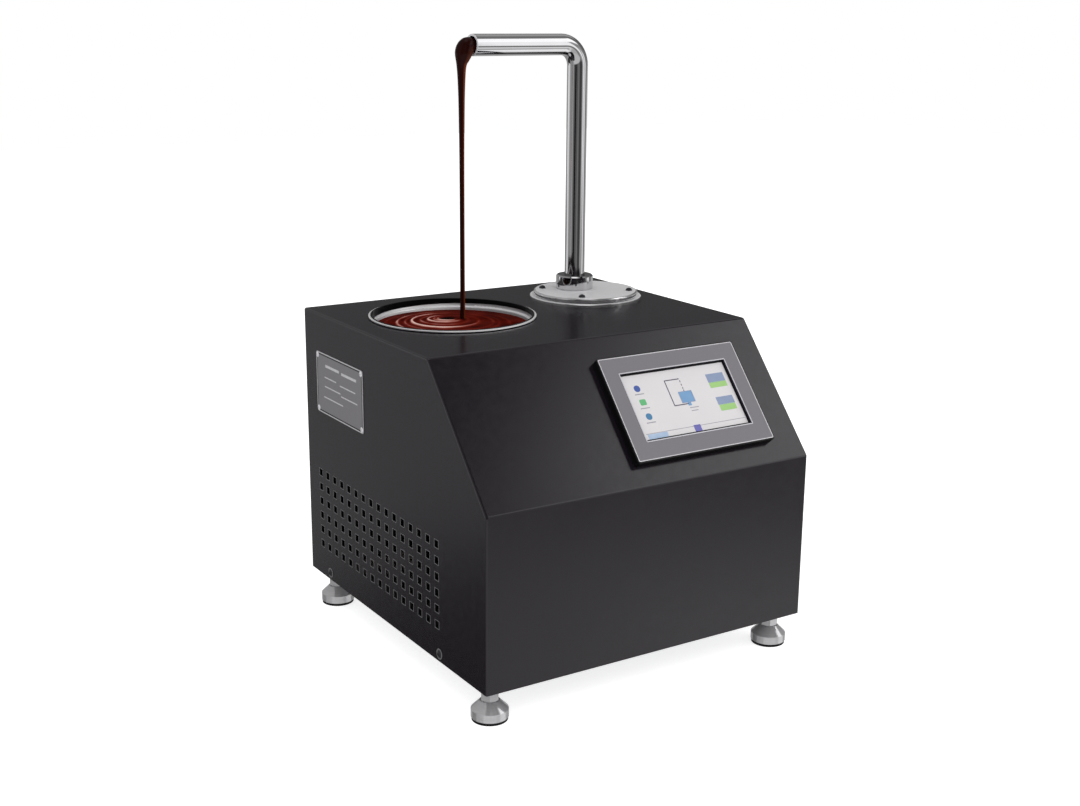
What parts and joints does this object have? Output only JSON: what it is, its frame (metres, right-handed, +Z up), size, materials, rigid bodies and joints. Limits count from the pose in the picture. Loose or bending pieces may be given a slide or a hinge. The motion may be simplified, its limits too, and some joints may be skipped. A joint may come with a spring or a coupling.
{
  "type": "chocolate dispenser",
  "caption": "Countertop melted-chocolate dispenser: sheet-steel cabinet with sunk bowl, screw pump, swivelling bent delivery pipe, touch panel and levelling feet.",
  "frame": {"origin": "centre of the footprint on the worktop, under the levelling feet", "axes": "+Z up, front with the sloped panel towards -Y, bowl side towards -X"},
  "size_m": [0.4544, 0.46, 0.7374],
  "materials": {
    "auger": "brushed stainless",
    "base_tray": "zinc plated",
    "bowl": "brushed stainless",
    "bowl_boss": "brushed stainless",
    "bowl_gasket": "silicone",
    "bowl_heater": "mill",
    "bowl_insulation": "glass-fibre wrap",
    "cabinet_cover": "charcoal powder coat, semi-matt",
    "cabinet_side_left": "charcoal powder coat, semi-matt",
    "cabinet_side_right": "charcoal powder coat, semi-matt",
    "delivery_pipe": "polished stainless",
    "fan_frame": "moulded",
    "fan_rotor": "moulded",
    "flange_gasket": "silicone",
    "flange_lower": "polished stainless",
    "flange_screws": "polished stainless",
    "flange_upper": "polished stainless",
    "foot_cup_bl": "polished stainless",
    "foot_cup_br": "polished stainless",
    "foot_cup_fl": "polished stainless",
    "foot_cup_fr": "polished stainless",
    "foot_locknuts": "zinc plated",
    "foot_pad_bl": "matt",
    "foot_pad_br": "matt",
    "foot_pad_fl": "matt",
    "foot_pad_fr": "matt",
    "foot_weld_nuts": "zinc plated",
    "heater_relay": "moulded",
    "hmi_bezel": "fine grain",
    "hmi_clamps": "moulded",
    "hmi_housing": "moulded",
    "hmi_screen": "display",
    "inlet_pins": "bright",
    "mains_inlet": "moulded",
    "motor_driver": "finned case",
    "nameplate": "grey anodised",
    "nameplate_rivets": "bright",
    "outlet_duct": "brushed stainless",
    "power_supply": "sheet case",
    "pump_barrel": "brushed stainless",
    "pump_base": "brushed stainless",
    "pump_coupling": "turned",
    "pump_gearbox": "cast",
    "pump_lantern": "cast",
    "pump_motor": "black",
    "rear_panel": "charcoal powder coat, semi-matt",
    "rear_screws": "black oxide",
    "rocker_switch": "moulded",
    "shell_screws": "black oxide",
    "spout_collar": "polished stainless",
    "stirrer": "brushed stainless",
    "stirrer_gearmotor": "black",
    "switch_frame": "moulded",
    "switch_pin": "zinc plated",
    "terminal_block": "moulded"
  },
  "bodies": {
    "cabinet": {"base_tray": "base_tray", "bowl": "bowl", "bowl_boss": "bowl_boss", "bowl_gasket": "bowl_gasket", "bowl_heater": "bowl_heater", "bowl_insulation": "bowl_insulation", "cabinet_cover": "cabinet_cover", "cabinet_side_left": "cabinet_side_left", "cabinet_side_right": "cabinet_side_right", "fan_frame": "fan_frame", "flange_gasket": "flange_gasket", "flange_lower": "flange_lower", "flange_screws": "flange_screws", "flange_upper": "flange_upper", "foot_locknuts": "foot_locknuts", "foot_weld_nuts": "foot_weld_nuts", "heater_relay": "heater_relay", "hmi_bezel": "hmi_bezel", "hmi_clamps": "hmi_clamps", "hmi_housing": "hmi_housing", "hmi_screen": "hmi_screen", "inlet_pins": "inlet_pins", "mains_inlet": "mains_inlet", "motor_driver": "motor_driver", "nameplate": "nameplate", "nameplate_rivets": "nameplate_rivets", "outlet_duct": "outlet_duct", "power_supply": "power_supply", "pump_barrel": "pump_barrel", "pump_base": "pump_base", "pump_gearbox": "pump_gearbox", "pump_lantern": "pump_lantern", "pump_motor": "pump_motor", "rear_panel": "rear_panel", "rear_screws": "rear_screws", "shell_screws": "shell_screws", "spout_collar": "spout_collar", "stirrer_gearmotor": "stirrer_gearmotor", "switch_frame": "switch_frame", "switch_pin": "switch_pin", "terminal_block": "terminal_block"},
    "spout": {"delivery_pipe": "delivery_pipe"},
    "auger": {"auger": "auger", "pump_coupling": "pump_coupling"},
    "stirrer": {"stirrer": "stirrer"},
    "fan": {"fan_rotor": "fan_rotor"},
    "rocker": {"rocker_switch": "rocker_switch"},
    "foot_fl": {"foot_cup_fl": "foot_cup_fl", "foot_pad_fl": "foot_pad_fl"},
    "foot_fr": {"foot_cup_fr": "foot_cup_fr", "foot_pad_fr": "foot_pad_fr"},
    "foot_bl": {"foot_cup_bl": "foot_cup_bl", "foot_pad_bl": "foot_pad_bl"},
    "foot_br": {"foot_cup_br": "foot_cup_br", "foot_pad_br": "foot_pad_br"}
  },
  "joints": [
    {"name": "spout_swivel", "type": "hinge", "parent": "cabinet", "child": "spout", "pos_m": [0.12093, 0.12701, 0.406], "axis": [0, 0, 1], "range_deg": [-18, 18]},
    {"name": "auger_turn", "type": "hinge", "parent": "cabinet", "child": "auger", "pos_m": [0.12893, 0.11201, 0.3], "axis": [0, 0, 1], "continuous": true},
    {"name": "stirrer_turn", "type": "hinge", "parent": "cabinet", "child": "stirrer", "pos_m": [-0.08662, 0.08924, 0.25], "axis": [0, 0, 1], "continuous": true},
    {"name": "fan_spin", "type": "hinge", "parent": "cabinet", "child": "fan", "pos_m": [0.12, 0.215, 0.1395], "axis": [0, 1, 0], "continuous": true},
    {"name": "power_rocker", "type": "hinge", "parent": "cabinet", "child": "rocker", "pos_m": [-0.095, 0.223, 0.0985], "axis": [1, 0, 0], "range_deg": [0, 16]},
    {"name": "foot_level_fl", "type": "slide", "parent": "cabinet", "child": "foot_fl", "axis": [0, 0, 1], "range_m": [-0.008, 0.004]},
    {"name": "foot_level_fr", "type": "slide", "parent": "cabinet", "child": "foot_fr", "axis": [0, 0, 1], "range_m": [-0.008, 0.004]},
    {"name": "foot_level_bl", "type": "slide", "parent": "cabinet", "child": "foot_bl", "axis": [0, 0, 1], "range_m": [-0.008, 0.004]},
    {"name": "foot_level_br", "type": "slide", "parent": "cabinet", "child": "foot_br", "axis": [0, 0, 1], "range_m": [-0.008, 0.004]}
  ]
}
